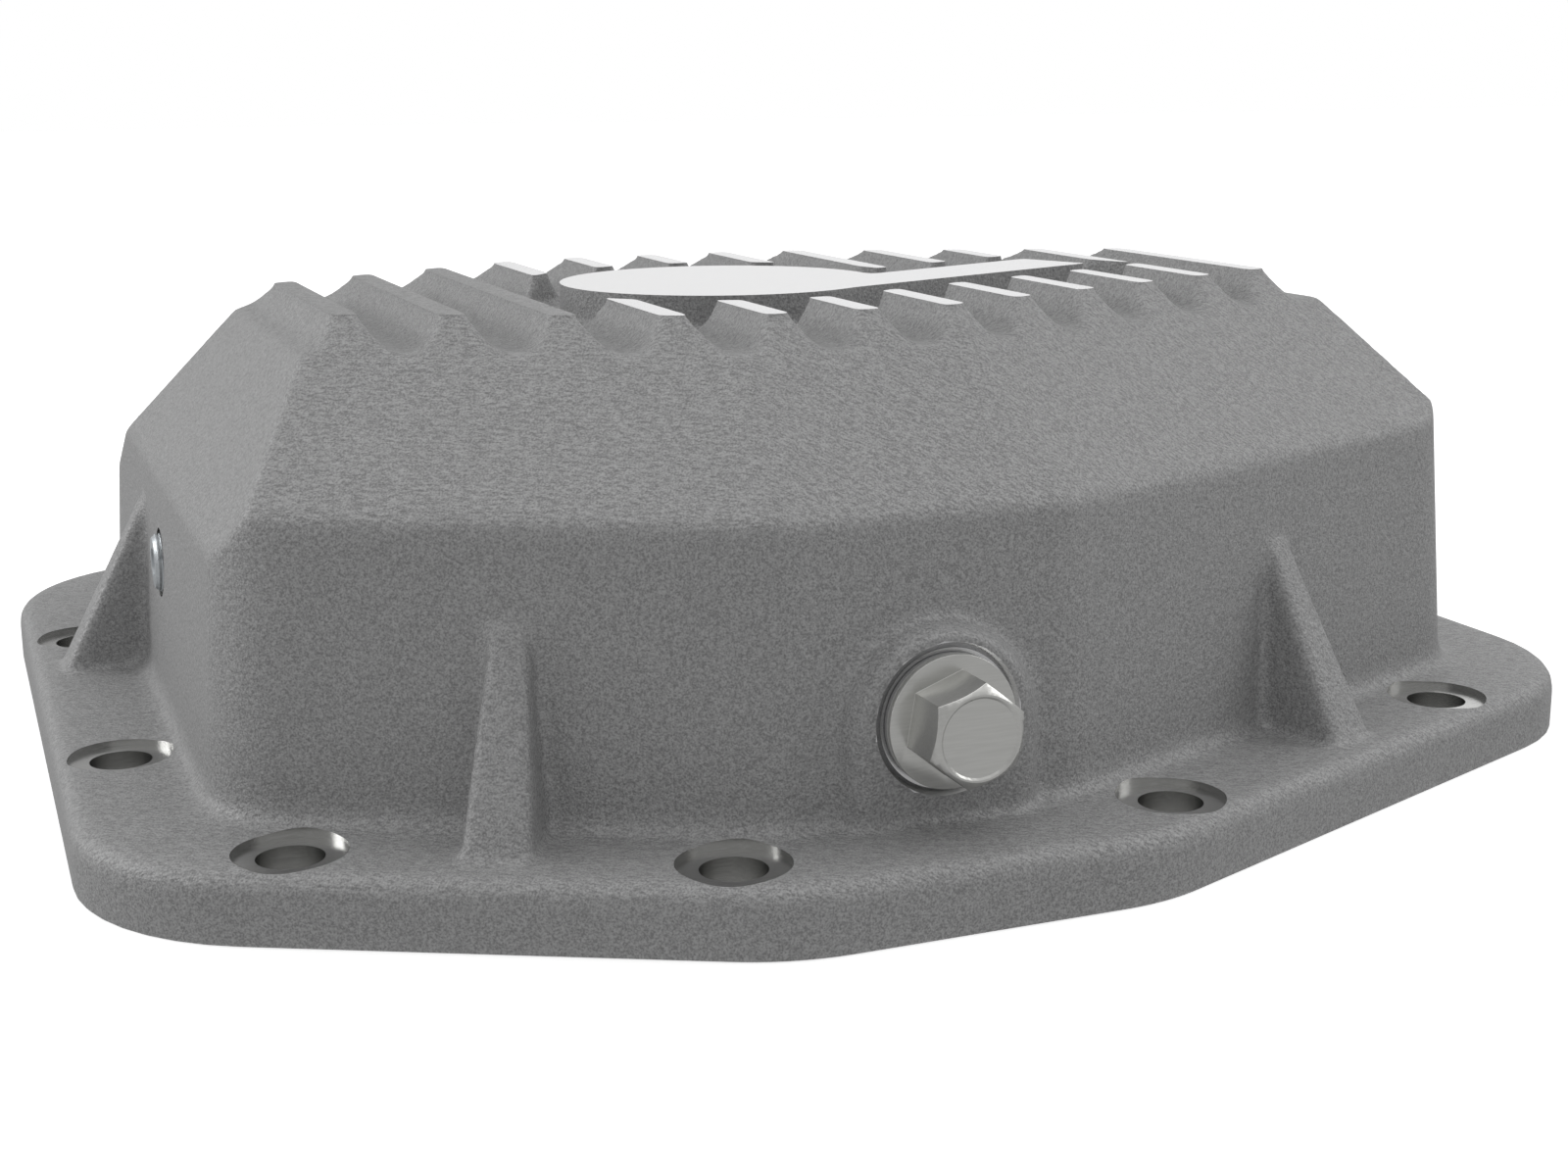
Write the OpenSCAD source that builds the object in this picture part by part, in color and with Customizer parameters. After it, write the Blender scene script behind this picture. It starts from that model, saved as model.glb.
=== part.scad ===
// Cast aluminium differential cover with a finned, faceted dome, a hexagon flange drain plug
// and a threaded side plug. Millimetres. Z = 0 is the mating face and the dome rises along +Z.
// The two long straight sides face -X and +X; the drain plug comes out towards -Y.

/* [Flange] */
// half of the width across the two straight sides
half_width = 175.3; // [150:0.1:200]
// half of the length across the two ends
half_length = 183.5; // [160:0.1:210]
// direction in which the long left chamfers face, turned from the end face
left_turn = 27; // [20:0.5:35]
// where the left chamfers start on the end faces, from the middle
end_left = 58.6; // [45:0.1:75]
// direction in which the right chamfers face, turned from the end face
right_turn = 22.1; // [18:0.1:26]
// where the right chamfers start on the end faces, from the middle
end_right = 18; // [10:0.1:35]
// thickness of the flange
flange_t = 13.7; // [9:0.1:20]
// corner radius of the flange outline
corner_r = 48; // [36:1:60]
// round along the upper edge of the flange
flange_edge_r = 4.5; // [1:0.1:6]

/* [Bolt holes] */
// diameter of the twelve through holes
bolt_d = 13; // [9:0.1:16]
// diameter of the machined seats round the holes
seat_d = 22; // [17:0.1:26]
// depth of the machined seats
seat_depth = 1.3; // [0.3:0.1:3]
// distance of the hole centres from the flange edge
bolt_edge = 13.6; // [11:0.1:18]
// holes on the straight sides, from the middle
side_bolt_y = 54.1; // [40:0.1:70]
// outer hole along each left chamfer, from the foot of its normal
left_bolt_low = 64.7; // [55:0.1:72]
// inner hole along each left chamfer, from the foot of its normal
left_bolt_high = 18.7; // [10:0.1:28]
// inner hole along each right chamfer, from the foot of its normal
right_bolt_low = 34; // [25:0.1:44]
// outer hole along each right chamfer, from the foot of its normal
right_bolt_high = 67.3; // [58:0.1:76]

/* [Dome] */
// height of the fin tops over the mating face
dome_h = 107.3; // [90:0.1:125]
// distance from the flange edge to the foot of the wall
wall_inset = 26.67; // [22:0.01:32]
// lean of the outer wall, degrees
draft = 3.69; // [1:0.01:6]
// fillet at the foot of the wall
foot_r = 3.2; // [1:0.1:6]
// height of the front shoulder over the mating face
shoulder_z = 72.7; // [60:0.1:80]
// slope of the three front facets, degrees
front_slope = 40.2; // [35:0.1:46]
// distance of the left facet from the middle, at the channel floors
left_facet_x = 122.7; // [115:0.1:128]
// slope of the left facet
left_slope = 58; // [50:0.1:65]
// distance of the right facet from the middle, at the channel floors
right_facet_x = 123.8; // [115:0.1:128]
// slope of the right facet
right_slope = 52.6; // [45:0.1:60]
// distance of the back left facet at the channel floors
back_left_reach = 70; // [60:0.1:80]
// distance of the back facet at the channel floors
back_reach = 53.5; // [45:0.1:65]
// distance of the back right facet at the channel floors
back_right_reach = 58; // [50:0.1:68]
// slope of the three long back facets
back_slope = 30.5; // [26:0.1:34]
// gentler slope that ends the fins at the back
crest_slope = 20.5; // [15:0.1:26]
// round along the edges between facets and wall
edge_r = 5; // [1:0.1:8]
// wall thickness of the casting
wall_t = 7; // [4.5:0.1:9]

/* [Fins] */
// number of fins
fin_count = 12; // [8:1:14]
// distance from fin to fin
fin_pitch = 20.04; // [16:0.01:24]
// width of the flat fin tops
fin_w = 4.8; // [3:0.1:7]
// depth of the channels between the fins
fin_h = 7.1; // [4:0.1:9]
// slope of the fin flanks, degrees
fin_flank = 60; // [50:1:75]
// round at the foot of each flank
fin_root_r = 5.5; // [1:0.1:6]
// shift of the fin row towards +X
fin_shift = -2.9; // [-6:0.1:6]

/* [Blank pad] */
// diameter of the round pad on the top
pad_d = 74.4; // [60:0.1:84]
// place of the pad along X
pad_x = -18.8; // [-30:0.1:-10]
// place of the pad along Y
pad_y = -38.8; // [-46:0.1:-30]
// length of the plain bar, from the middle of the pad
bar_l = 90; // [60:0.5:96]
// width of the bar
bar_w = 20; // [10:0.5:26]
// distance of the bar from the middle of the pad
bar_off = 26.2; // [15:0.1:28]
// free space round pad and bar
pad_gap = 9.5; // [4:0.1:12]
// depth of that space below the channel floors
pad_sink = 0.5; // [0.2:0.1:1]

/* [Ribs] */
// height of the ribs over the flange, on the wall
rib_h = 41; // [25:0.5:50]
// reach of the ribs on the straight sides and right chamfers
rib_reach = 20.3; // [10:0.1:22]
// reach of the ribs on the left chamfers
rib_reach_left = 17.8; // [10:0.1:22]
// width of a rib at its upper edge
rib_top_w = 6.2; // [4:0.1:9]
// width of a rib at its foot
rib_foot_w = 10.4; // [7:0.1:14]
// ribs on the straight sides, from the middle
rib_side = 24.5; // [15:0.1:32]
// ribs on the left chamfers, from the foot of their normal
rib_left = 25; // [15:0.1:32]
// ribs on the right chamfers, from the foot of their normal
rib_right = 22.8; // [15:0.1:32]

/* [Drain plug] */
// place of the drain plug along X
drain_x = -17.8; // [-30:0.1:0]
// height of the drain plug axis over the mating face
drain_z = 34.3; // [30:0.1:40]
// how far the boss stands out of the wall foot
boss_out = 4.2; // [2:0.1:8]
// half of the width of the boss
boss_half = 21; // [17:0.1:24]
// round from the face of the boss to its sides
boss_soft = 5.5; // [2:0.1:6]
// how far the centre of the arch lies below the plug axis
boss_drop = 2.8; // [0:0.1:5]
// thread diameter of the plug
plug_thread_d = 12; // [8:0.1:16]
// length of the plug thread
plug_thread_l = 16; // [10:0.1:20]
// diameter of the plug flange
plug_flange_d = 26.5; // [20:0.1:30]
// thickness of the plug flange rim
plug_flange_t = 1.6; // [1:0.1:3]
// width across the flats of the plug head
plug_af = 18; // [13:0.1:22]
// height of the plug head with its flange
plug_head_h = 13.2; // [8:0.1:16]
// turn of the hexagon about its axis
plug_turn = 9.6; // [0:0.1:30]
// thickness of the sealing washer
washer_t = 1.5; // [0.8:0.1:3]
// outer diameter of the sealing washer
washer_d = 24; // [18:0.1:26]
// depth of the machined seat under the washer
plug_seat_depth = 1; // [0.3:0.1:2]
// clearance round threads and washer
clearance = 0.15; // [0.05:0.01:0.3]

/* [Side plug] */
// place of the side plug along Y
side_y = -8.8; // [-20:0.1:10]
// height of the side plug over the mating face
side_z = 45; // [38:0.1:52]
// thread diameter of the side plug
side_d = 13.6; // [8:0.1:16]
// how far the side plug stands out of the wall
side_out = 1.5; // [1:0.1:8]
// distance between its thread crests
side_pitch = 1; // [0.8:0.05:2]
// depth of its thread
side_thread_depth = 0.5; // [0.2:0.05:0.8]
// diameter of the machined seat round the side plug
side_seat_d = 16; // [14.5:0.1:20]
// depth of that seat
side_seat_depth = 1.5; // [0.5:0.1:3]

/* [Hidden] */
$fn = 64;
lean = tan(draft);
arc_n = 8;
fin_floor = dome_h - fin_h;
left_offset = end_left * sin(left_turn) + half_length * cos(left_turn);
right_offset = end_right * sin(right_turn) + half_length * cos(right_turn);
reach = half_length + 40;
plug_hole_d = plug_thread_d + 2 * clearance;
side_hole_d = side_d + 2 * clearance;

// the eight edges: direction each one faces, and its distance from the centre
edge_a = [180, 270 - left_turn, 270, 270 + right_turn, 360, 450 - right_turn, 450, 450 + left_turn];
edge_d = [half_width, left_offset, half_length, right_offset,
          half_width, right_offset, half_length, left_offset];

function next(i) = (i + 1) % 8;
function turn(i) = (edge_a[next(i)] - edge_a[i] + 360) % 360;
// corner between edge i and the next one, with all edges moved in
function corner(i, inset) =
    let (a = edge_a[i], b = edge_a[next(i)], p = edge_d[i] - inset, q = edge_d[next(i)] - inset)
    [(p * sin(b) - q * sin(a)) / sin(b - a), (q * cos(a) - p * cos(b)) / sin(b - a)];
// rounded outline, moved in; every outline has the same number of points
function outline(inset, r) = [for (i = [0:7]) for (k = [0:arc_n])
    let (c = corner(i, inset + r), a = edge_a[i] + turn(i) * k / arc_n)
    [c[0] + r * cos(a), c[1] + r * sin(a)]];
// point on edge i, moved in, at distance s along it from its middle foot
function on_edge(i, inset, s) = let (a = edge_a[i], d = edge_d[i] - inset)
    [d * cos(a) - s * sin(a), d * sin(a) + s * cos(a)];

// rings are [height, inset, corner radius]
module loft(rings) {
    n = 8 * (arc_n + 1);
    m = len(rings);
    pts = [for (r = rings) for (p = outline(r[1], r[2])) [p[0], p[1], r[0]]];
    sides = [for (j = [0:m - 2]) for (i = [0:n - 1])
        [j * n + i, (j + 1) * n + i, (j + 1) * n + (i + 1) % n, j * n + (i + 1) % n]];
    polyhedron(pts, concat([[for (i = [0:n - 1]) i]],
        sides, [[for (i = [n - 1:-1:0]) (m - 1) * n + i]]), convexity = 4);
}

// everything on the inner side of a sloping plane that passes a distance d at height z
module below_plane(a, d, z, slope) {
    rotate([0, 0, a]) translate([d, 0, z]) rotate([0, slope - 90, 0])
        translate([-600, -600, -600]) cube([600, 1200, 1200]);
}

// the facets: direction, distance, height, slope
front_in = wall_inset + lean * (shoulder_z - flange_t);
facets = [
    [edge_a[1], edge_d[1] - front_in, shoulder_z, front_slope],
    [edge_a[2], edge_d[2] - front_in, shoulder_z, front_slope],
    [edge_a[3], edge_d[3] - front_in, shoulder_z, front_slope],
    [edge_a[0], left_facet_x, fin_floor, left_slope],
    [edge_a[4], right_facet_x, fin_floor, right_slope],
    [edge_a[5], back_right_reach, fin_floor, back_slope],
    [edge_a[6], back_reach, fin_floor, back_slope],
    [edge_a[7], back_left_reach, fin_floor, back_slope]];
facet_edge = [1, 2, 3, 0, 4, 5, 6, 7];
crests = [
    [edge_a[5], back_right_reach, fin_floor, crest_slope],
    [edge_a[6], back_reach, fin_floor, crest_slope],
    [edge_a[7], back_left_reach, fin_floor, crest_slope]];

module facet_solid(list, inward) {
    intersection_for (f = list)
        below_plane(f[0], f[1] - inward / sin(f[3]), f[2], f[3]);
}

// flange with its rounded upper edge and the fillet that runs up the wall
module flange_form() {
    e = flange_edge_r;
    loft(concat(
        [[0, 0, corner_r]],
        [for (t = [0:15:90]) [flange_t - e + e * sin(t), e * (1 - cos(t)), corner_r - e * (1 - cos(t))]],
        [for (t = [0:16:80]) let (s = wall_inset - foot_r * (1 - sin(t)))
            [flange_t + foot_r * (1 - cos(t)), s, corner_r - s]],
        [[flange_t + foot_r * (1 - cos(80)) + 0.01, wall_inset + 3, corner_r - wall_inset - 3]]));
}

// the round between a facet and the wall below it, as planes that touch a circle in the corner
module shoulder_plane(f, w, k) {
    wall_slope = 90 - draft;
    cot = 1 / tan(f[3]);
    // centre of the circle: facet and wall both moved in by the radius
    d = f[1] - edge_r / sin(f[3]);
    w_in = w - wall_inset + lean * flange_t - edge_r / sin(wall_slope);
    z = (w_in - d - f[2] * cot) / (lean - cot);
    t = f[3] + (wall_slope - f[3]) * k / 3;
    below_plane(f[0], w_in - lean * z + edge_r * sin(t), z + edge_r * cos(t), t);
}

// faceted dome: leaning wall, facets and the rounds between them
module dome_form() {
    intersection() {
        loft([[1, wall_inset - lean * (flange_t - 1), corner_r - wall_inset],
              [dome_h + 9, wall_inset + lean * (dome_h + 9 - flange_t), corner_r - wall_inset]]);
        facet_solid(facets, 0);
        facet_solid(crests, 0);
        intersection_for (i = [0:7]) intersection_for (k = [1:2])
            shoulder_plane(facets[i], edge_d[facet_edge[i]], k);
    }
}

// section of one channel between two fins, open above
module channel_section() {
    open = fin_pitch - fin_w;
    run = fin_h / tan(fin_flank);
    r = fin_root_r;
    flat = open / 2 - run - r * tan(fin_flank / 2);
    side = [for (t = [0:12:fin_flank]) [flat + r * sin(t), r * (1 - cos(t))]];
    up = [open / 2 + 4 / tan(fin_flank), fin_h + 4];
    polygon(concat(side, [up], [[-up[0], up[1]]],
        [for (i = [len(side) - 1:-1:0]) [-side[i][0], side[i][1]]]));
}

fin_x0 = fin_shift - (fin_count - 1) / 2 * fin_pitch;
module channels() {
    for (i = [0:fin_count - 2])
        translate([fin_x0 + (i + 0.5) * fin_pitch, reach, fin_floor]) rotate([90, 0, 0])
            linear_extrude(2 * reach) channel_section();
    // outside the first and the last fin the top drops to the channel floor
    for (s = [-1, 1]) translate([fin_shift + s * fin_count / 2 * fin_pitch, reach, fin_floor])
        rotate([90, 0, 0]) linear_extrude(2 * reach) {
            channel_section();
            translate([s > 0 ? 0 : -half_width, 0]) square([half_width, fin_h + 4]);
        }
}

// round pad with a bar that runs on beside it, in line with the right chamfer
module pad_outline(grow) {
    translate([pad_x, pad_y]) {
        circle(d = pad_d + 2 * grow);
        rotate(right_turn) translate([0, -bar_off - bar_w / 2 - grow])
            square([bar_l + grow, bar_w + 2 * grow]);
    }
}

// gusset between the wall and the flange, across edge i at distance s
module rib(i, s, out) {
    foot = on_edge(i, wall_inset, s);
    b = rib_foot_w / 2;
    t = rib_top_w / 2;
    top = -lean * rib_h + 1;
    back = -lean * rib_h - 4;
    translate([foot[0], foot[1], flange_t]) rotate([0, 0, edge_a[i]])
        polyhedron([[out, -b, -1], [out, b, -1], [back, b, -1], [back, -b, -1],
                    [top, -t, rib_h], [top, t, rib_h], [back, t, rib_h], [back, -t, rib_h]],
                   [[0, 1, 2, 3], [7, 6, 5, 4], [0, 4, 5, 1], [1, 5, 6, 2], [2, 6, 7, 3], [3, 7, 4, 0]]);
}

boss_y = -(half_length - wall_inset + boss_out);
seat_y = boss_y + plug_seat_depth;
// arch that carries the drain plug, running down to the flange
module arch(y, half) {
    z = drain_z - boss_drop;
    translate([drain_x, y, 0]) rotate([90, 0, 0]) linear_extrude(0.2) {
        translate([0, z]) circle(half, $fn = 48);
        translate([-half, flange_t - 1]) square([2 * half, z - flange_t + 1]);
    }
}
module drain_boss() {
    hull() {
        for (t = [0:18:90])
            arch(boss_y + 0.2 + boss_soft * (1 - cos(t)), boss_half - boss_soft * (1 - sin(t)));
        arch(boss_y + 12, boss_half + 1);
    }
}

wall_x = -(half_width - wall_inset - lean * (side_z - flange_t));
// the inner hollow, open at the mating face, with the plug bosses left standing
module hollow() {
    inner = wall_inset + wall_t;
    r = corner_r - inner;
    difference() {
        intersection() {
            loft([[-1, inner - lean * (flange_t + 1), r],
                  [fin_floor - wall_t, inner + lean * (fin_floor - wall_t - flange_t), r]]);
            facet_solid(facets, wall_t);
        }
        translate([drain_x, boss_y + 2, drain_z]) rotate([-90, 0, 0])
            cylinder(d = plug_thread_d + 16, h = plug_thread_l + 3, $fn = 32);
        translate([wall_x + 2, side_y, side_z]) rotate([0, 90, 0])
            cylinder(d = side_d + 12, h = 12, $fn = 32);
    }
}

function bolt_places() = let (e = bolt_edge)
    [[-(half_width - e), side_bolt_y], [-(half_width - e), -side_bolt_y],
     [half_width - e, side_bolt_y], [half_width - e, -side_bolt_y],
     for (m = [-1, 1]) for (s = [-left_bolt_low, left_bolt_high])
         let (p = on_edge(1, e, s)) [p[0], m * p[1]],
     for (m = [-1, 1]) for (s = [-right_bolt_low, right_bolt_high])
         let (p = on_edge(3, e, s)) [p[0], m * p[1]]];

// each rib: edge, distance along it, reach
ribs = [[0, -rib_side, rib_reach], [1, -rib_left, rib_reach_left], [3, rib_right, rib_reach],
        [4, rib_side, rib_reach], [5, -rib_right, rib_reach], [7, rib_left, rib_reach_left]];

// the casting before machining, brought to the overall size of flange and dome
module rough_casting() {
    resize([2 * half_width, 2 * half_length, dome_h]) difference() {
        union() {
            flange_form();
            difference() {
                intersection() {
                    union() {
                        dome_form();
                        for (r = ribs) rib(r[0], r[1], r[2]);
                        drain_boss();
                    }
                    translate([-reach, -reach, 1]) cube([2 * reach, 2 * reach, dome_h - 1]);
                }
                channels();
                translate([0, 0, fin_floor - pad_sink]) linear_extrude(2 * fin_h) pad_outline(pad_gap);
            }
            translate([0, 0, fin_floor - 1.5]) linear_extrude(fin_h + 1.5) pad_outline(0);
        }
        hollow();
    }
}

module cover_casting() {
    color([0.62, 0.62, 0.63]) difference() {
        rough_casting();
        for (p = bolt_places()) translate([p[0], p[1], 0]) {
            translate([0, 0, -1]) cylinder(d = bolt_d, h = flange_t + 2);
            translate([0, 0, flange_t - seat_depth]) cylinder(d = seat_d, h = 2 * flange_t);
        }
        // drain plug seat, its chamfer and its bore
        translate([drain_x, seat_y, drain_z]) rotate([90, 0, 0]) {
            cylinder(d = plug_flange_d + 1.4, h = 12);
            translate([0, 0, plug_seat_depth - 0.8])
                cylinder(d1 = plug_flange_d + 1.4, d2 = plug_flange_d + 7.4, h = 2);
            translate([0, 0, -2.5 * plug_thread_l]) cylinder(d = plug_hole_d, h = 2.5 * plug_thread_l + 1);
        }
        // side plug seat and bore
        translate([wall_x + side_seat_depth, side_y, side_z]) rotate([0, -90, 0]) {
            cylinder(d = side_seat_d, h = 12);
            translate([0, 0, -2.5 * side_d]) cylinder(d = side_hole_d, h = 2.5 * side_d + 1);
        }
    }
}

// one piece: hexagon with chamfered corners, flange and thread, and a shallow recess in the face
module drain_plug() {
    ac = plug_af / cos(30);
    color([0.8, 0.8, 0.79])
    translate([drain_x, seat_y - washer_t, drain_z]) rotate([90, 0, 0]) difference() {
        union() {
            rotate([0, 0, 30 - plug_turn]) intersection() {
                translate([0, 0, plug_flange_t / 2])
                    cylinder(d = ac, h = plug_head_h - plug_flange_t / 2, $fn = 6);
                cylinder(d1 = plug_af - 1.2 + 2.4 * plug_head_h, d2 = plug_af - 1.2, h = plug_head_h);
            }
            cylinder(d = plug_flange_d, h = plug_flange_t);
            translate([0, 0, -plug_thread_l]) cylinder(d = plug_thread_d, h = plug_thread_l + 1);
        }
        translate([0, 0, plug_head_h - 0.5])
            cylinder(d1 = plug_af - 2.8, d2 = plug_af - 1.6, h = 0.6);
    }
}

module drain_washer() {
    color([0.35, 0.36, 0.37])
    translate([drain_x, seat_y, drain_z]) rotate([90, 0, 0]) difference() {
        cylinder(d = washer_d, h = washer_t);
        translate([0, 0, -1]) cylinder(d = plug_hole_d, h = washer_t + 2);
    }
}

module side_plug() {
    bare = side_out + side_seat_depth;
    n = floor((bare - 1) / side_pitch);
    len_in = 12;
    z0 = len_in - side_seat_depth + 0.2;
    r = side_d / 2;
    color([0.7, 0.72, 0.75])
    translate([wall_x + len_in, side_y, side_z]) rotate([0, -90, 0]) rotate_extrude()
        polygon(concat([[0, 0], [r, 0], [r, z0 - side_pitch / 2]],
            [for (i = [0:n - 1]) each [[r - side_thread_depth, z0 + i * side_pitch],
                [r, z0 + (i + 0.5) * side_pitch]]],
            [[r - side_thread_depth, z0 + n * side_pitch], [r - 0.15, z0 + n * side_pitch + 0.35],
             [r - 0.8, len_in + side_out], [0, len_in + side_out]]));
}

cover_casting();
drain_plug();
drain_washer();
side_plug();
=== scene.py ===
import math

import bmesh
import bpy
from mathutils import Matrix, Vector


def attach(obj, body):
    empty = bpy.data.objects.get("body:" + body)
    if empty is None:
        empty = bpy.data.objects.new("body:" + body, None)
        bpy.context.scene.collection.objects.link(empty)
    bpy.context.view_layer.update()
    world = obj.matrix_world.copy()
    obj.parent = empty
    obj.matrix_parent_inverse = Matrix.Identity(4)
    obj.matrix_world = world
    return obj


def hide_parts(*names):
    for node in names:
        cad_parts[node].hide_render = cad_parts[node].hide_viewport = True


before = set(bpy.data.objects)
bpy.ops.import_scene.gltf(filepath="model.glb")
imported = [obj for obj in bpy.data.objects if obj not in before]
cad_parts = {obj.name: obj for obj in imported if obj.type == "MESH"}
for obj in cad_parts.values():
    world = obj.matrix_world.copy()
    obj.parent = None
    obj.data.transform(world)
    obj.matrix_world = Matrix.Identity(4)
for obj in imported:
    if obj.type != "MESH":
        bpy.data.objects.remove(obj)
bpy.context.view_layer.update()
scene = bpy.context.scene

# The view: a long-lens product shot, taken from a little above the fins, off the corner
# between the drain plug and the left side. The camera stands where the photograph's did.
heading, pitch, roll = math.radians(21.48), math.radians(13.41), math.radians(-0.44)
right = Vector((math.cos(heading), -math.sin(heading), 0))
ahead = Vector((math.sin(heading) * math.cos(pitch), math.cos(heading) * math.cos(pitch), -math.sin(pitch)))
up = right.cross(ahead)
image_right = right * math.cos(roll) + up * math.sin(roll)
image_up = up * math.cos(roll) - right * math.sin(roll)
lens = bpy.data.cameras.new("camera")
lens.sensor_width = 36
lens.lens = 2220.51 / 1600 * 36
lens.clip_start = 0.01
camera = bpy.data.objects.new("camera", lens)
camera.matrix_world = Matrix((
    (image_right.x, image_up.x, -ahead.x, -0.1922),
    (image_right.y, image_up.y, -ahead.y, -0.5190),
    (image_right.z, image_up.z, -ahead.z, 0.1549),
    (0, 0, 0, 1),
))
scene.collection.objects.link(camera)
scene.camera = camera
scene.view_settings.view_transform = "Standard"

# The room: a pale table under a light tent. The tent is bright overhead and behind, and dim
# at eye level in front, which leaves the walls darker than the top.
table_mesh = bpy.data.meshes.new("table")
table_mesh.from_pydata([(-6, -6, 0), (6, -6, 0), (6, 6, 0), (-6, 6, 0)], [], [(0, 1, 2, 3)])
table = bpy.data.objects.new("table", table_mesh)
scene.collection.objects.link(table)
table.location.z = -0.0002
paper = bpy.data.materials.new("white_paper")
paper.use_nodes = True
paper_shader = paper.node_tree.nodes["Principled BSDF"]
paper_shader.inputs["Base Color"].default_value = (0.86, 0.86, 0.86, 1)
paper_shader.inputs["Roughness"].default_value = 0.9
paper_shader.inputs["Specular IOR Level"].default_value = 0.1
paper_shader.inputs["Emission Color"].default_value = (1, 1, 1, 1)
paper_shader.inputs["Emission Strength"].default_value = 0.55
table_mesh.materials.append(paper)
table.visible_diffuse = False
table.visible_glossy = False

tent = bpy.data.worlds.new("light_tent")
scene.world = tent
tent.use_nodes = True
tree = tent.node_tree
tree.nodes.clear()
where = tree.nodes.new("ShaderNodeTexCoord")
split = tree.nodes.new("ShaderNodeSeparateXYZ")
tree.links.new(where.outputs["Generated"], split.inputs[0])
height = tree.nodes.new("ShaderNodeMapRange")
height.inputs["From Min"].default_value = -1
height.inputs["From Max"].default_value = 1
tree.links.new(split.outputs["Z"], height.inputs["Value"])
ramp = tree.nodes.new("ShaderNodeValToRGB")
ramp.color_ramp.interpolation = "EASE"
for place, level in ((0.0, 0.52), (0.46, 0.49), (0.62, 0.46), (0.8, 0.44), (1.0, 0.42)):
    stop = ramp.color_ramp.elements.new(place)
    stop.color = (level, level, level, 1)
ramp.color_ramp.elements.remove(ramp.color_ramp.elements[0])
tree.links.new(height.outputs["Result"], ramp.inputs["Fac"])
lit = tree.nodes.new("ShaderNodeBackground")
tree.links.new(ramp.outputs["Color"], lit.inputs["Color"])
lit.inputs["Strength"].default_value = 1.0
seen = tree.nodes.new("ShaderNodeBackground")
seen.inputs["Color"].default_value = (1, 1, 1, 1)
path = tree.nodes.new("ShaderNodeLightPath")
both = tree.nodes.new("ShaderNodeMixShader")
tree.links.new(path.outputs["Is Camera Ray"], both.inputs["Fac"])
tree.links.new(lit.outputs[0], both.inputs[1])
tree.links.new(seen.outputs[0], both.inputs[2])
out = tree.nodes.new("ShaderNodeOutputWorld")
tree.links.new(both.outputs[0], out.inputs["Surface"])


def soft_box(name, place, size, power):
    """An area light turned to the middle of the cover."""
    light = bpy.data.lights.new(name, "AREA")
    light.shape = "RECTANGLE"
    light.size, light.size_y = size
    light.energy = power
    box = bpy.data.objects.new(name, light)
    box.location = place
    box.rotation_euler = (Vector((0, 0, 0.05)) - Vector(place)).to_track_quat("-Z", "Y").to_euler()
    box.visible_camera = False
    scene.collection.objects.link(box)


soft_box("overhead", (0.1, 0.25, 1.5), (1.4, 1.0), 1.5)
soft_box("left", (-1.15, 0.55, 0.6), (0.8, 0.5), 5.6)
soft_box("right", (1.25, -0.3, 0.9), (0.8, 0.8), 4.3)
soft_box("behind", (1.2, 1.7, 0.45), (1.8, 0.8), 3)

# Raw sand-cast aluminium: one group gives the grain of the mould, the slanting ripple on the
# sloping faces and a speckle of tone, and every cast surface uses it.
grain = bpy.data.node_groups.new("cast_grain", "ShaderNodeTree")
for label in ("Grain Size", "Ripple Size"):
    grain.interface.new_socket(label, in_out="INPUT", socket_type="NodeSocketFloat")
for label in ("Height", "Tone"):
    grain.interface.new_socket(label, in_out="OUTPUT", socket_type="NodeSocketFloat")
gin, gout = grain.nodes.new("NodeGroupInput"), grain.nodes.new("NodeGroupOutput")
spot_on = grain.nodes.new("ShaderNodeTexCoord")
face = grain.nodes.new("ShaderNodeNewGeometry")
facing = grain.nodes.new("ShaderNodeSeparateXYZ")
grain.links.new(face.outputs["True Normal"], facing.inputs[0])
peel = grain.nodes.new("ShaderNodeTexNoise")
peel.inputs["Detail"].default_value = 2.5
peel.inputs["Roughness"].default_value = 0.62
grain.links.new(spot_on.outputs["Object"], peel.inputs["Vector"])
grain.links.new(gin.outputs["Grain Size"], peel.inputs["Scale"])
slant = grain.nodes.new("ShaderNodeMapping")
slant.vector_type = "TEXTURE"
slant.inputs["Rotation"].default_value = (0, 0, math.radians(-32))
slant.inputs["Scale"].default_value = (3.2, 1, 1.8)
grain.links.new(spot_on.outputs["Object"], slant.inputs["Vector"])
ripple = grain.nodes.new("ShaderNodeTexNoise")
ripple.inputs["Detail"].default_value = 1.5
grain.links.new(slant.outputs[0], ripple.inputs["Vector"])
grain.links.new(gin.outputs["Ripple Size"], ripple.inputs["Scale"])
slope = grain.nodes.new("ShaderNodeMapRange")
slope.interpolation_type = "SMOOTHSTEP"
for key, value in (("From Min", 0.15), ("From Max", 0.6)):
    slope.inputs[key].default_value = value
grain.links.new(facing.outputs["Z"], slope.inputs["Value"])
speckle = grain.nodes.new("ShaderNodeTexNoise")
speckle.inputs["Scale"].default_value = 2500
speckle.inputs["Detail"].default_value = 1
grain.links.new(spot_on.outputs["Object"], speckle.inputs["Vector"])
heights = grain.nodes.new("ShaderNodeMath")
heights.operation = "MULTIPLY_ADD"
grain.links.new(ripple.outputs["Fac"], heights.inputs[0])
grain.links.new(slope.outputs[0], heights.inputs[1])
grain.links.new(peel.outputs["Fac"], heights.inputs[2])
grain.links.new(heights.outputs[0], gout.inputs["Height"])
both_tones = grain.nodes.new("ShaderNodeMix")
both_tones.inputs["Factor"].default_value = 0.42
grain.links.new(speckle.outputs["Fac"], both_tones.inputs["A"])
woven = grain.nodes.new("ShaderNodeMix")
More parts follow.
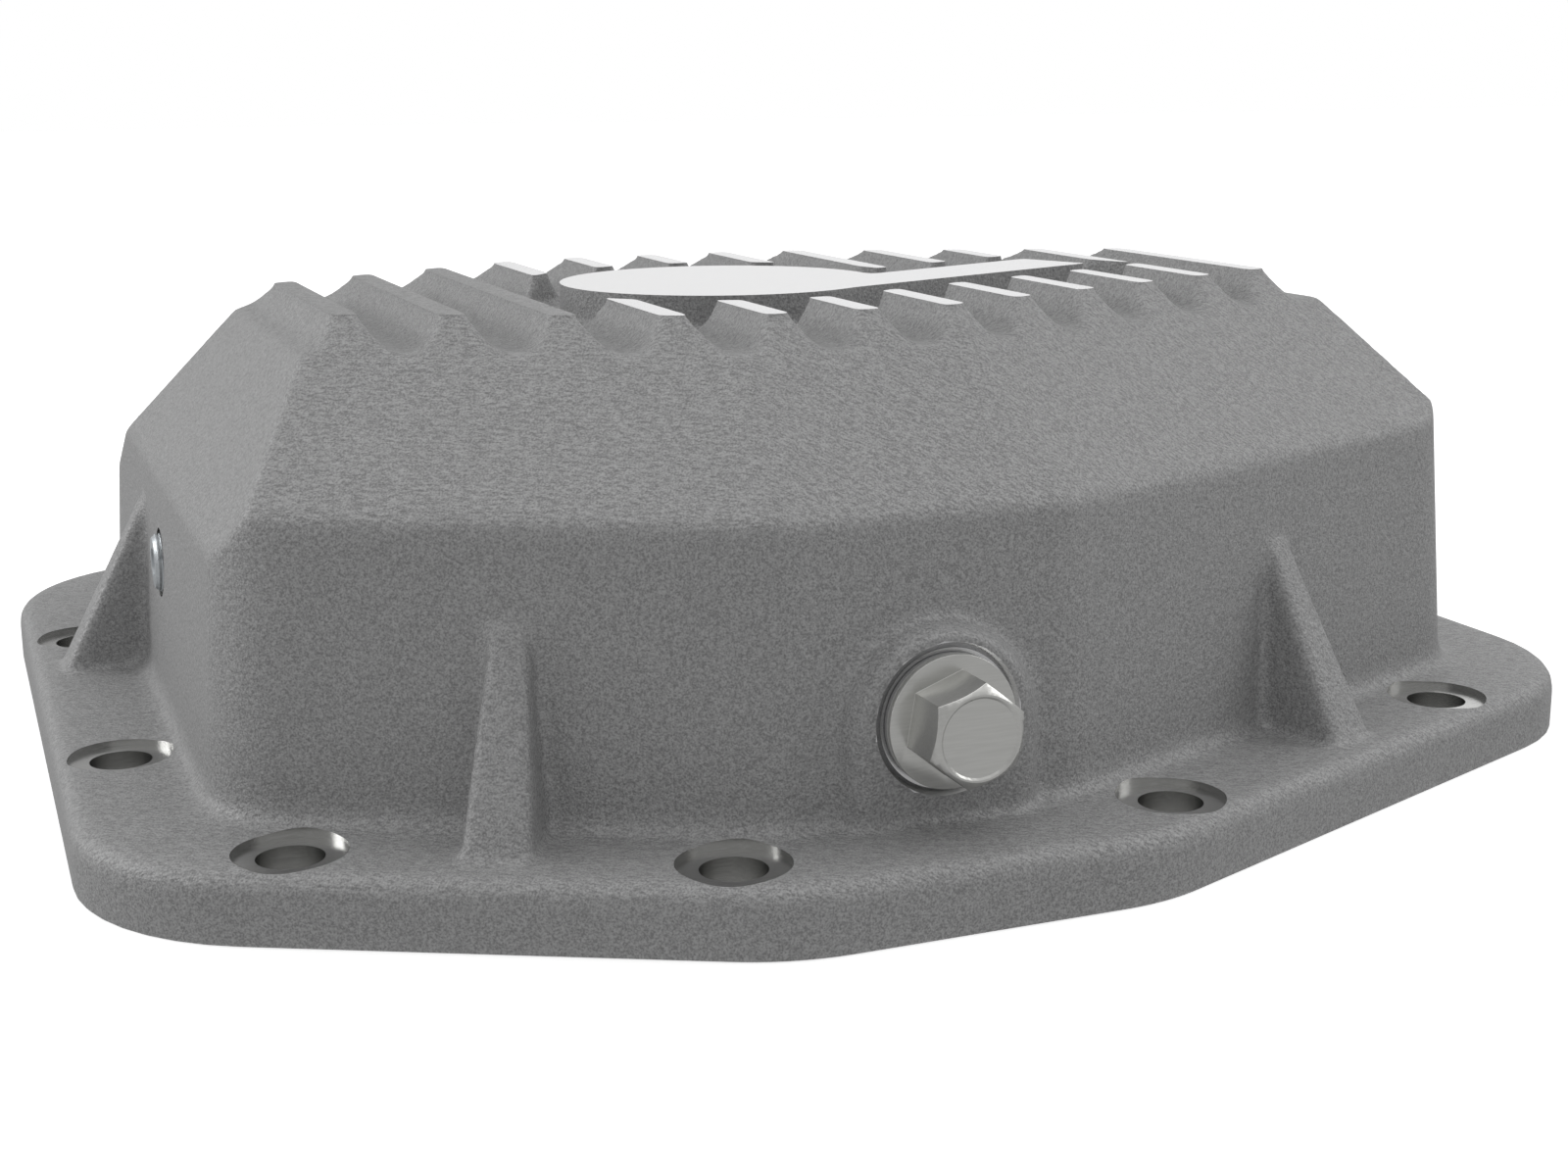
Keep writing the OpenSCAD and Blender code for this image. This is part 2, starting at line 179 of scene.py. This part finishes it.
grain.links.new(slope.outputs[0], woven.inputs["Factor"])
grain.links.new(peel.outputs["Fac"], woven.inputs["A"])
grain.links.new(ripple.outputs["Fac"], woven.inputs["B"])
grain.links.new(woven.outputs["Result"], both_tones.inputs["B"])
grain.links.new(both_tones.outputs["Result"], gout.inputs["Tone"])

cast = bpy.data.materials.new("cast_aluminium")
cast.use_nodes = True
nodes, links = cast.node_tree.nodes, cast.node_tree.links
metal = nodes["Principled BSDF"]
skin_of = nodes.new("ShaderNodeGroup")
skin_of.node_tree = grain
skin_of.inputs["Grain Size"].default_value = 1200
skin_of.inputs["Ripple Size"].default_value = 1750
raw = nodes.new("ShaderNodeValToRGB")
for stop, position, level in ((0, 0.38, 0.235), (1, 0.62, 0.425)):
    raw.color_ramp.elements[stop].position = position
    raw.color_ramp.elements[stop].color = (level, level, level * 1.004, 1)
links.new(skin_of.outputs["Tone"], raw.inputs["Fac"])
links.new(raw.outputs["Color"], metal.inputs["Base Color"])
metal.inputs["Metallic"].default_value = 0.25
metal.inputs["Roughness"].default_value = 0.56
peeled = nodes.new("ShaderNodeBump")
peeled.inputs["Distance"].default_value = 0.0003
peeled.inputs["Strength"].default_value = 1.0
links.new(skin_of.outputs["Height"], peeled.inputs["Height"])
links.new(peeled.outputs[0], metal.inputs["Normal"])

# Cut metal: facing and drilling leave fine lines round or across the cut, which the next
# group gives as a height and as a streak of gloss. The plugs are turned and use it too.
marks = bpy.data.node_groups.new("tool_marks", "ShaderNodeTree")
marks.interface.new_socket("Line Scale", in_out="INPUT", socket_type="NodeSocketFloat")
for label in ("Height", "Streak"):
    marks.interface.new_socket(label, in_out="OUTPUT", socket_type="NodeSocketFloat")
min_, mout = marks.nodes.new("NodeGroupInput"), marks.nodes.new("NodeGroupOutput")
spot_on = marks.nodes.new("ShaderNodeTexCoord")
drawn = marks.nodes.new("ShaderNodeMapping")
drawn.inputs["Scale"].default_value = (0.06, 1.0, 1.0)
marks.links.new(spot_on.outputs["Object"], drawn.inputs["Vector"])
lines = marks.nodes.new("ShaderNodeTexNoise")
lines.inputs["Detail"].default_value = 2
marks.links.new(drawn.outputs[0], lines.inputs["Vector"])
marks.links.new(min_.outputs["Line Scale"], lines.inputs["Scale"])
marks.links.new(lines.outputs["Fac"], mout.inputs["Height"])
marks.links.new(lines.outputs["Fac"], mout.inputs["Streak"])


def cut_metal(name, low, high, gloss, line_scale, depth, metallic=1.0):
    """A bright metal: colour between two levels, gloss between two roughnesses, fine lines."""
    made = bpy.data.materials.new(name)
    made.use_nodes = True
    nodes, links = made.node_tree.nodes, made.node_tree.links
    shader = nodes["Principled BSDF"]
    use = nodes.new("ShaderNodeGroup")
    use.node_tree = marks
    use.inputs["Line Scale"].default_value = line_scale
    tone = nodes.new("ShaderNodeValToRGB")
    for stop, position, colour in ((0, 0.32, low), (1, 0.68, high)):
        tone.color_ramp.elements[stop].position = position
        tone.color_ramp.elements[stop].color = (*colour, 1)
    links.new(use.outputs["Streak"], tone.inputs["Fac"])
    links.new(tone.outputs["Color"], shader.inputs["Base Color"])
    shader.inputs["Metallic"].default_value = metallic
    polish = nodes.new("ShaderNodeMapRange")
    polish.inputs["To Min"].default_value, polish.inputs["To Max"].default_value = gloss
    links.new(use.outputs["Streak"], polish.inputs["Value"])
    links.new(polish.outputs[0], shader.inputs["Roughness"])
    scored = nodes.new("ShaderNodeBump")
    scored.inputs["Distance"].default_value = depth
    scored.inputs["Strength"].default_value = 0.5
    links.new(use.outputs["Height"], scored.inputs["Height"])
    links.new(scored.outputs[0], shader.inputs["Normal"])
    return made


# The drilled metal is the machined metal made darker: painted shade for the bolt bores, bolt seats and side plug seat,
# which sit down in recesses.
shaded_drilled = cut_metal("shaded_drilled_aluminium", (0.50, 0.50, 0.49), (0.58, 0.58, 0.57), (0.2, 0.28), 2600, 0.000005)
machined = cut_metal("machined_aluminium", (0.62, 0.62, 0.63), (0.74, 0.74, 0.74), (0.2, 0.3), 2600, 0.000008)

# The cover: one sand casting. The mould leaves soft rounds wherever two walls meet, so the
# blank is laid up as one skin and eased all over. It stands proud of the fin tops and of the
# mating face, where metal is left on to be faced off.
FIN_TOP, FLANGE_TOP, SPARE = 0.1073, 0.0137, 0.0048
SKIN_MESH = 0.00095
BOLT_BORE, BOLT_SEAT, BOLT_SEAT_DEPTH, BOLT_EDGE = 0.0065, 0.011, 0.0013, 0.0136
HALF_WIDTH, HALF_LENGTH = 0.1753, 0.1835
DRAIN_SEAT, DRAIN_OUT = Vector((-0.0178, -0.16003, 0.0343)), Vector((0, -1, 0))
SIDE_SEAT, SIDE_OUT = Vector((-0.145111, -0.0088, 0.045)), Vector((-1, 0, 0))


def beside_chamfer(side, turn, start, distance):
    """A bolt beside one of the front chamfers, measured from the foot of its normal."""
    facing = math.radians(270 + side * turn)
    reach = start * math.sin(math.radians(turn)) + HALF_LENGTH * math.cos(math.radians(turn)) - BOLT_EDGE
    return (reach * math.cos(facing) - distance * math.sin(facing),
            reach * math.sin(facing) + distance * math.cos(facing))


front_bolts = [beside_chamfer(-1, 27, 0.0586, d) for d in (-0.0647, 0.0187)]
front_bolts += [beside_chamfer(1, 22.1, 0.018, d) for d in (-0.034, 0.0673)]
front_bolts += [(side * (HALF_WIDTH - BOLT_EDGE), -0.0541) for side in (-1, 1)]
bolt_places = [Vector((x, s * y, 0)) for x, y in front_bolts for s in (-1, 1)]


def turned(shape, profile, place, out, steps=96):
    """Add a closed turned body to a mesh: (radius, distance along the axis) from end to end."""
    spin = out.to_track_quat("Z", "Y")
    rings = []
    for radius, along in profile:
        count = 1 if radius == 0 else steps
        rings.append([shape.verts.new(place + spin @ Vector((
            radius * math.cos(2 * math.pi * k / steps), radius * math.sin(2 * math.pi * k / steps), along)))
            for k in range(count)])
    made = []
    for low, high in zip(rings, rings[1:]):
        for k in range(steps):
            n = (k + 1) % steps
            corners = [low[k % len(low)], low[n % len(low)], high[n % len(high)], high[k % len(high)]]
            made.append(shape.faces.new([c for i, c in enumerate(corners) if c not in corners[:i]]))
    return made


def settled(thing, name):
    """The mesh that an object's modifiers make, with the modifiers taken off."""
    mesh = bpy.data.meshes.new_from_object(thing.evaluated_get(bpy.context.evaluated_depsgraph_get()))
    mesh.name = name
    thing.modifiers.clear()
    thing.data = mesh
    return mesh


casting = bpy.data.objects.new("casting", bpy.data.meshes.new("blank"))
scene.collection.objects.link(casting)
blank = bmesh.new()
blank.from_mesh(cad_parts["cover_casting"].data)
bmesh.ops.remove_doubles(blank, verts=blank.verts, dist=4e-6)
bmesh.ops.dissolve_limit(blank, angle_limit=math.radians(0.6), verts=blank.verts, edges=blank.edges, delimit=set())
# metal left on above the fins and below the mating face
for height, lift in ((FIN_TOP, SPARE), (0, -SPARE)):
    ends = [f for f in blank.faces if abs(f.calc_center_median().z - height) < 2e-5 and abs(f.normal.z) > 0.99]
    grown = bmesh.ops.extrude_face_region(blank, geom=ends, use_keep_orig=False)
    bmesh.ops.delete(blank, geom=[f for f in ends if f.is_valid], context="FACES_ONLY")
    for part in grown["geom"]:
        if isinstance(part, bmesh.types.BMVert):
            part.co.z += lift
bmesh.ops.recalc_face_normals(blank, faces=blank.faces)
# the holes are drilled after casting, so the blank is solid there
for spot in bolt_places:
    turned(blank, ((0, -SPARE), (0.0104, -SPARE), (0.0104, FLANGE_TOP), (0, FLANGE_TOP)), spot, Vector((0, 0, 1)), 40)
turned(blank, ((0, -0.0195), (0.0066, -0.0195), (0.0066, -0.0006), (0.0136, -0.0006), (0.0136, 0.00095), (0, 0.00095)),
       DRAIN_SEAT, DRAIN_OUT, 40)
turned(blank, ((0, -0.0115), (0.0074, -0.0115), (0.0074, 0.0014), (0, 0.0014)), SIDE_SEAT, SIDE_OUT, 40)
# the free edges of the gussets, rounded before the skin is laid up
GUSSETS = ((180, HALF_WIDTH, -0.0245), (243, 0.1901, -0.025), (292.1, 0.17679, 0.0228),
           (0, HALF_WIDTH, 0.0245), (67.9, 0.17679, -0.0228), (117, 0.1901, 0.025))
# each drawn out a little to its sides, as the mould's draft does
for vert in blank.verts:
    if not 0.0129 < vert.co.z < 0.0562:
        continue
    for facing, distance, aside in GUSSETS:
        out = Vector((math.cos(math.radians(facing)), math.sin(math.radians(facing)), 0))
        across = Vector((-out.y, out.x, 0))
        from_middle = vert.co.dot(across) - aside
        if distance - 0.0315 < vert.co.dot(out) < distance - 0.004 and abs(from_middle) < 0.0062:
            foot = max(0, min(1, (0.0547 - vert.co.z) / 0.041))
            vert.co += across * from_middle * (0.22 + 0.1 * foot)
            if vert.co.dot(out) > distance - 0.0095 and foot == 1:
                vert.co += out * 0.0024
            break
free_edges = []
for edge in blank.edges:
    spot = (edge.verts[0].co + edge.verts[1].co) / 2
    if not (0.0139 < spot.z < 0.0562 and edge.is_convex and len(edge.link_faces) == 2):
        continue
    for facing, distance, aside in GUSSETS:
        out = Vector((math.cos(math.radians(facing)), math.sin(math.radians(facing)), 0))
        if (distance - 0.0295 < spot.dot(out) < distance - 0.004
                and abs(spot.dot(Vector((-out.y, out.x, 0))) - aside) < 0.0078 and edge.calc_face_angle() > 0.5):
            free_edges.append(edge)
bmesh.ops.bevel(blank, geom=free_edges, offset=0.0016, segments=3, profile=0.5, affect="EDGES", clamp_overlap=False)
blank.to_mesh(casting.data)
blank.free()
skin = casting.modifiers.new("one_skin", "REMESH")
skin.mode = "VOXEL"
skin.voxel_size = SKIN_MESH
ease = casting.modifiers.new("mould_rounds", "SMOOTH")
ease.factor = 0.5
ease.iterations = 10
settled(casting, "skin")
# the fins run out softly through the sloping faces, and the drain boss is blended in
SLOPES = ((180, 0.1183), (243, 0.1187), (270, 0.1121), (292.1, 0.1054), (0, 0.1184),
          (67.9, 0.039), (90, 0.0345), (117, 0.051))
slope_ways = [(math.cos(math.radians(a)), math.sin(math.radians(a)), d) for a, d in SLOPES]
soft_zone = casting.vertex_groups.new(name="soft_zone")
for vert in casting.data.vertices:
    x, y, z = vert.co
    if z > 0.096:
        beyond = max(x * c + y * n - d for c, n, d in slope_ways)
        share = (beyond + 0.0085) / 0.004
    elif y < -0.148 and z > 0.016:
        share = (0.029 - math.hypot(x - DRAIN_SEAT.x, z - DRAIN_SEAT.z)) / 0.004
    else:
        continue
    if share > 0:
        soft_zone.add((vert.index,), min(1, share), "REPLACE")
softer = casting.modifiers.new("run_out", "SMOOTH")
softer.factor = 0.5
softer.iterations = 5
softer.vertex_group = "soft_zone"
settled(casting, "soft_skin")
# the wall meets the flange in a wide sweep
WALL_FEET = ((180, 0.1453), (243, 0.1601), (270, 0.1535), (292.1, 0.14679), (0, 0.1453),
             (67.9, 0.14679), (90, 0.1535), (117, 0.1601))
foot_ways = [(math.cos(math.radians(a)), math.sin(math.radians(a)), d) for a, d in WALL_FEET]
sweep_zone = casting.vertex_groups.new(name="wall_foot")
for vert in casting.data.vertices:
    x, y, z = vert.co
    beside_boss = y > 0 or abs(x - DRAIN_SEAT.x) > 0.029
    if 0.010 < z < 0.026 and beside_boss:
        beyond = max(x * c + y * n - d for c, n, d in foot_ways)
        share = min((0.0095 - abs(beyond)) / 0.003, (0.026 - z) / 0.004)
        if share > 0:
            sweep_zone.add((vert.index,), min(1, share), "REPLACE")
sweep = casting.modifiers.new("foot_sweep", "SMOOTH")
sweep.factor = 0.5
sweep.iterations = 26
sweep.vertex_group = "wall_foot"
settled(casting, "swept_skin")
casting.vertex_groups.clear()
# the face of the boss stays flat round its seat
for vert in casting.data.vertices:
    if vert.co.y < -0.1565:
        from_axis = math.hypot(vert.co.x - DRAIN_SEAT.x, vert.co.z - DRAIN_SEAT.z)
        flat = max(0, min(1, (0.0188 - from_axis) / 0.0032))
        vert.co.y += (-0.16103 - vert.co.y) * flat * flat * (3 - 2 * flat)
lean = casting.modifiers.new("fewer_faces", "DECIMATE")
lean.ratio = 0.185
settled(casting, "lean_skin")
# Facing and drilling: Geometry Nodes stand one drill at each bolt place, first for the bores
# and then for the seats. The ends are faced flat, and the plug seats have their own cutters.
drill_tree = bpy.data.node_groups.new("drill_at_places", "GeometryNodeTree")
drill_tree.interface.new_socket("Geometry", in_out="INPUT", socket_type="NodeSocketGeometry")
drill_sizes = {label: drill_tree.interface.new_socket(label, in_out="INPUT", socket_type="NodeSocketFloat").identifier
               for label in ("Radius", "Low End", "High End")}
drill_finish = drill_tree.interface.new_socket("Finish", in_out="INPUT", socket_type="NodeSocketMaterial").identifier
drill_tree.interface.new_socket("Geometry", in_out="OUTPUT", socket_type="NodeSocketGeometry")
given, made = drill_tree.nodes.new("NodeGroupInput"), drill_tree.nodes.new("NodeGroupOutput")
reach = drill_tree.nodes.new("ShaderNodeMath")
reach.operation = "SUBTRACT"
drill_tree.links.new(given.outputs["High End"], reach.inputs[0])
drill_tree.links.new(given.outputs["Low End"], reach.inputs[1])
bit = drill_tree.nodes.new("GeometryNodeMeshCylinder")
bit.inputs["Vertices"].default_value = 96
drill_tree.links.new(given.outputs["Radius"], bit.inputs["Radius"])
drill_tree.links.new(reach.outputs[0], bit.inputs["Depth"])
middle = drill_tree.nodes.new("ShaderNodeMath")
middle.operation = "MULTIPLY_ADD"
middle.inputs[1].default_value = 0.5
drill_tree.links.new(reach.outputs[0], middle.inputs[0])
drill_tree.links.new(given.outputs["Low End"], middle.inputs[2])
lifted = drill_tree.nodes.new("ShaderNodeCombineXYZ")
drill_tree.links.new(middle.outputs[0], lifted.inputs["Z"])
stood = drill_tree.nodes.new("GeometryNodeTransform")
drill_tree.links.new(bit.outputs["Mesh"], stood.inputs["Geometry"])
drill_tree.links.new(lifted.outputs[0], stood.inputs["Translation"])
at_places = drill_tree.nodes.new("GeometryNodeInstanceOnPoints")
drill_tree.links.new(given.outputs["Geometry"], at_places.inputs["Points"])
drill_tree.links.new(stood.outputs[0], at_places.inputs["Instance"])
real = drill_tree.nodes.new("GeometryNodeRealizeInstances")
drill_tree.links.new(at_places.outputs[0], real.inputs[0])
finished = drill_tree.nodes.new("GeometryNodeSetMaterial")
drill_tree.links.new(real.outputs[0], finished.inputs["Geometry"])
drill_tree.links.new(given.outputs["Finish"], finished.inputs["Material"])
drill_tree.links.new(finished.outputs[0], made.inputs[0])


def cut_away(tool):
    """Take a cutter out of the casting and put the cutter away."""
    cut = casting.modifiers.new(tool.name, "BOOLEAN")
    cut.operation = "DIFFERENCE"
    cut.solver = "MANIFOLD"
    cut.object = tool
    settled(casting, "casting")
    bpy.data.objects.remove(tool)


cutters = bmesh.new()
for low, high in ((FIN_TOP, FIN_TOP + 0.02), (-0.02, 0)):
    bmesh.ops.create_cube(cutters, size=1, matrix=Matrix.Translation((0, 0, (low + high) / 2))
                          @ Matrix.Diagonal((0.5, 0.5, high - low, 1)))
turned(cutters, ((0, -0.04), (0.00615, -0.04), (0.00615, 0), (0.01395, 0), (0.01395, 0.0002), (0.01695, 0.0022),
                 (0.01695, 0.009), (0, 0.009)), DRAIN_SEAT, DRAIN_OUT)
turned(cutters, ((0, -0.034), (0.00695, -0.034), (0.00695, 0), (0.008, 0), (0.008, 0.012), (0, 0.012)),
       SIDE_SEAT, SIDE_OUT)
bmesh.ops.recalc_face_normals(cutters, faces=cutters.faces)
facing_tool = bpy.data.objects.new("facing", bpy.data.meshes.new("facing"))
scene.collection.objects.link(facing_tool)
cutters.to_mesh(facing_tool.data)
cutters.free()
cut_away(facing_tool)
for name, radius, low, high in (("bolt_bores", BOLT_BORE, -0.01, 0.03),
                                ("bolt_seats", BOLT_SEAT, FLANGE_TOP - BOLT_SEAT_DEPTH, 0.04)):
    places = bpy.data.meshes.new(name)
    places.from_pydata(bolt_places, [], [])
    drill = bpy.data.objects.new(name, places)
    scene.collection.objects.link(drill)
    run = drill.modifiers.new(name, "NODES")
    run.node_group = drill_tree
    for label, value in (("Radius", radius), ("Low End", low), ("High End", high)):
        run[drill_sizes[label]] = value
    run[drill_finish] = machined
    settled(drill, name)
    cut_away(drill)

# which faces are cut metal: the ends, the bolt holes, and the two plug seats
casting.data.materials.clear()
casting.data.materials.append(cast)
casting.data.materials.append(machined)
casting.data.materials.append(shaded_drilled)
FIRST_FACED_FIN = -0.063


def is_cut(centre, normal):
    if centre.z > FIN_TOP - 2e-5:
        return centre.x > FIRST_FACED_FIN
    if centre.z < 2e-5:
        return True
    if centre.z < 0.04:
        nearest = min((Vector((centre.x, centre.y, 0)) - spot).length for spot in bolt_places)
        upright = abs(normal.z) < 0.05
        if nearest < BOLT_SEAT + 4e-5 and (nearest > BOLT_SEAT - 4e-5 or nearest < BOLT_BORE + 4e-5) and upright:
            return True
        if nearest < BOLT_SEAT and abs(centre.z - FLANGE_TOP + BOLT_SEAT_DEPTH) < 2e-5:
            return True
    for seat, out, rim in ((DRAIN_SEAT, DRAIN_OUT, 0.0165), (SIDE_SEAT, SIDE_OUT, 0.0081)):
        away = centre - seat
        along = away.dot(out)
        radius = (away - out * along).length
        if abs(along) < 2e-5 and radius < rim and abs(normal.dot(out)) > 0.99:
            return True
        for wall in ((0.00615, 0.01395) if seat is DRAIN_SEAT else (0.00695, 0.008)):
            if abs(radius - wall) < 4e-5 and -0.045 < along < 0.004 and abs(normal.dot(out)) < 0.05:
                return True
        if seat is DRAIN_SEAT and 0 < along < 0.0022 and abs(radius - 0.01395 - 1.5 * (along - 0.0002)) < 6e-5:
            return True
    return False


faces = bmesh.new()
faces.from_mesh(casting.data)
for face in faces.faces:
    face.smooth = True
    centre = face.calc_center_median()
    # Cut faces in the open (the faced ends and the drain seat) take the machined metal; the bolt holes and the side
    # plug seat take the darker drilled metal, which is painted shade for their recesses.
    bright = centre.z > FIN_TOP - 2e-5 or centre.z < 2e-5 or (centre - DRAIN_SEAT).length < 0.025
    face.material_index = is_cut(centre, face.normal) * (1 if bright else 2)
for edge in faces.edges:
    if len(edge.link_faces) == 2:
        one, other = edge.link_faces
        if one.material_index + other.material_index and edge.calc_face_angle() > 0.35:
            edge.smooth = False
for vert in faces.verts:
    vert.co.x = max(-HALF_WIDTH, min(HALF_WIDTH, vert.co.x))
    vert.co.y = max(-HALF_LENGTH, min(HALF_LENGTH, vert.co.y))
faces.to_mesh(casting.data)
faces.free()
even = casting.modifiers.new("even_shading", "WEIGHTED_NORMAL")
even.keep_sharp = True
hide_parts("cover_casting")
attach(casting, "root")

# The drain plug: cold-headed steel with a hexagon, a plain flange and a thread, in satin
# zinc. Its edges are broken by the header and the face keeps a shallow turned recess.
plug_steel = cut_metal("plug_steel", (0.61, 0.61, 0.59), (0.66, 0.66, 0.64), (0.27, 0.33), 2200, 0.000001)
plug = bpy.data.objects.new("drain_plug_dressed", bpy.data.meshes.new("drain_plug_dressed"))
scene.collection.objects.link(plug)
bar = bmesh.new()
bar.from_mesh(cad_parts["drain_plug"].data)
bmesh.ops.remove_doubles(bar, verts=bar.verts, dist=4e-6)
bmesh.ops.dissolve_limit(bar, angle_limit=math.radians(0.6), verts=bar.verts, edges=bar.edges, delimit=set())
bar.to_mesh(plug.data)
bar.free()
plug.data.polygons.foreach_set("use_smooth", [True] * len(plug.data.polygons))
broken = plug.modifiers.new("broken_edges", "BEVEL")
broken.limit_method = "ANGLE"
broken.angle_limit = math.radians(22)
broken.width = 0.00025
broken.segments = 2
broken.harden_normals = True
plug.data.materials.append(plug_steel)
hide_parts("drain_plug")
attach(plug, "root")

# The washer under its flange: a turned aluminium ring, dull and darker than the plug, a little
# smaller than the flange that clamps it.
washer_finish = cut_metal("sealing_washer", (0.34, 0.34, 0.34), (0.42, 0.42, 0.42), (0.45, 0.6), 1400, 0.00001, 0.6)
ring = bmesh.new()
turned(ring, ((0.0062, 0), (0.0128, 0), (0.0131, 0.0003), (0.0131, 0.0012), (0.0128, 0.00149), (0.0062, 0.00149),
              (0.0062, 0)), DRAIN_SEAT, DRAIN_OUT)
bmesh.ops.remove_doubles(ring, verts=ring.verts, dist=1e-6)
bmesh.ops.recalc_face_normals(ring, faces=ring.faces)
washer = bpy.data.objects.new("sealing_washer", bpy.data.meshes.new("sealing_washer"))
scene.collection.objects.link(washer)
ring.to_mesh(washer.data)
ring.free()
washer.data.polygons.foreach_set("use_smooth", [True] * len(washer.data.polygons))
washer.data.set_sharp_from_angle(angle=math.radians(30))
washer.data.materials.append(washer_finish)
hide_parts("drain_washer")
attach(washer, "root")

# The side plug: a zinced screw plug turned in until its last threads stand in the seat.
# Geometry Nodes wind the thread as a ridge round the core.
zinc = cut_metal("bright_zinc", (0.52, 0.55, 0.57), (0.62, 0.65, 0.67), (0.38, 0.46), 1200, 0.000004)
thread_tree = bpy.data.node_groups.new("wound_thread", "GeometryNodeTree")
thread_tree.interface.new_socket("Geometry", in_out="INPUT", socket_type="NodeSocketGeometry")
thread_sizes = {label: thread_tree.interface.new_socket(label, in_out="INPUT", socket_type="NodeSocketFloat").identifier
                for label in ("Thread Radius", "Turns", "Thread Length", "Ridge", "Start")}
thread_finish = thread_tree.interface.new_socket("Finish", in_out="INPUT", socket_type="NodeSocketMaterial").identifier
thread_tree.interface.new_socket("Geometry", in_out="OUTPUT", socket_type="NodeSocketGeometry")
given, made = thread_tree.nodes.new("NodeGroupInput"), thread_tree.nodes.new("NodeGroupOutput")
helix = thread_tree.nodes.new("GeometryNodeCurveSpiral")
helix.inputs["Resolution"].default_value = 48
for label, inputs in (("Thread Radius", ("Start Radius", "End Radius")), ("Turns", ("Rotations",)),
                      ("Thread Length", ("Height",))):
    for key in inputs:
        thread_tree.links.new(given.outputs[label], helix.inputs[key])
ridge = thread_tree.nodes.new("GeometryNodeCurvePrimitiveCircle")
ridge.inputs["Resolution"].default_value = 6
thread_tree.links.new(given.outputs["Ridge"], ridge.inputs["Radius"])
wound = thread_tree.nodes.new("GeometryNodeCurveToMesh")
wound.inputs["Fill Caps"].default_value = True
thread_tree.links.new(helix.outputs[0], wound.inputs["Curve"])
thread_tree.links.new(ridge.outputs[0], wound.inputs["Profile Curve"])
start = thread_tree.nodes.new("ShaderNodeCombineXYZ")
thread_tree.links.new(given.outputs["Start"], start.inputs["Z"])
along_axis = thread_tree.nodes.new("GeometryNodeTransform")
thread_tree.links.new(wound.outputs[0], along_axis.inputs["Geometry"])
thread_tree.links.new(start.outputs[0], along_axis.inputs["Translation"])
in_wall = thread_tree.nodes.new("GeometryNodeTransform")
in_wall.inputs["Rotation"].default_value = (0, math.radians(-90), 0)
in_wall.inputs["Translation"].default_value = SIDE_SEAT
thread_tree.links.new(along_axis.outputs[0], in_wall.inputs["Geometry"])
screw = thread_tree.nodes.new("GeometryNodeJoinGeometry")
thread_tree.links.new(given.outputs["Geometry"], screw.inputs[0])
thread_tree.links.new(in_wall.outputs[0], screw.inputs[0])
real = thread_tree.nodes.new("GeometryNodeRealizeInstances")
thread_tree.links.new(screw.outputs[0], real.inputs[0])
finished = thread_tree.nodes.new("GeometryNodeSetMaterial")
thread_tree.links.new(real.outputs[0], finished.inputs["Geometry"])
thread_tree.links.new(given.outputs["Finish"], finished.inputs["Material"])
thread_tree.links.new(finished.outputs[0], made.inputs[0])

core = bmesh.new()
turned(core, ((0, -0.0105), (0.0064, -0.0105), (0.0064, 0.0023), (0.0058, 0.003), (0.0034, 0.003), (0.0032, 0.0014),
              (0, 0.0012)), SIDE_SEAT, SIDE_OUT)
bmesh.ops.recalc_face_normals(core, faces=core.faces)
side_plug = bpy.data.objects.new("side_plug_dressed", bpy.data.meshes.new("side_plug_core"))
scene.collection.objects.link(side_plug)
core.to_mesh(side_plug.data)
core.free()
wind = side_plug.modifiers.new("wound_thread", "NODES")
wind.node_group = thread_tree
for label, value in (("Thread Radius", 0.00642), ("Turns", 3.2), ("Thread Length", 0.0030), ("Ridge", 0.00036),
                     ("Start", -0.0008)):
    wind[thread_sizes[label]] = value
wind[thread_finish] = zinc
settled(side_plug, "side_plug_dressed")
side_plug.data.polygons.foreach_set("use_smooth", [True] * len(side_plug.data.polygons))
side_plug.data.set_sharp_from_angle(angle=math.radians(35))
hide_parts("side_plug")
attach(side_plug, "root")
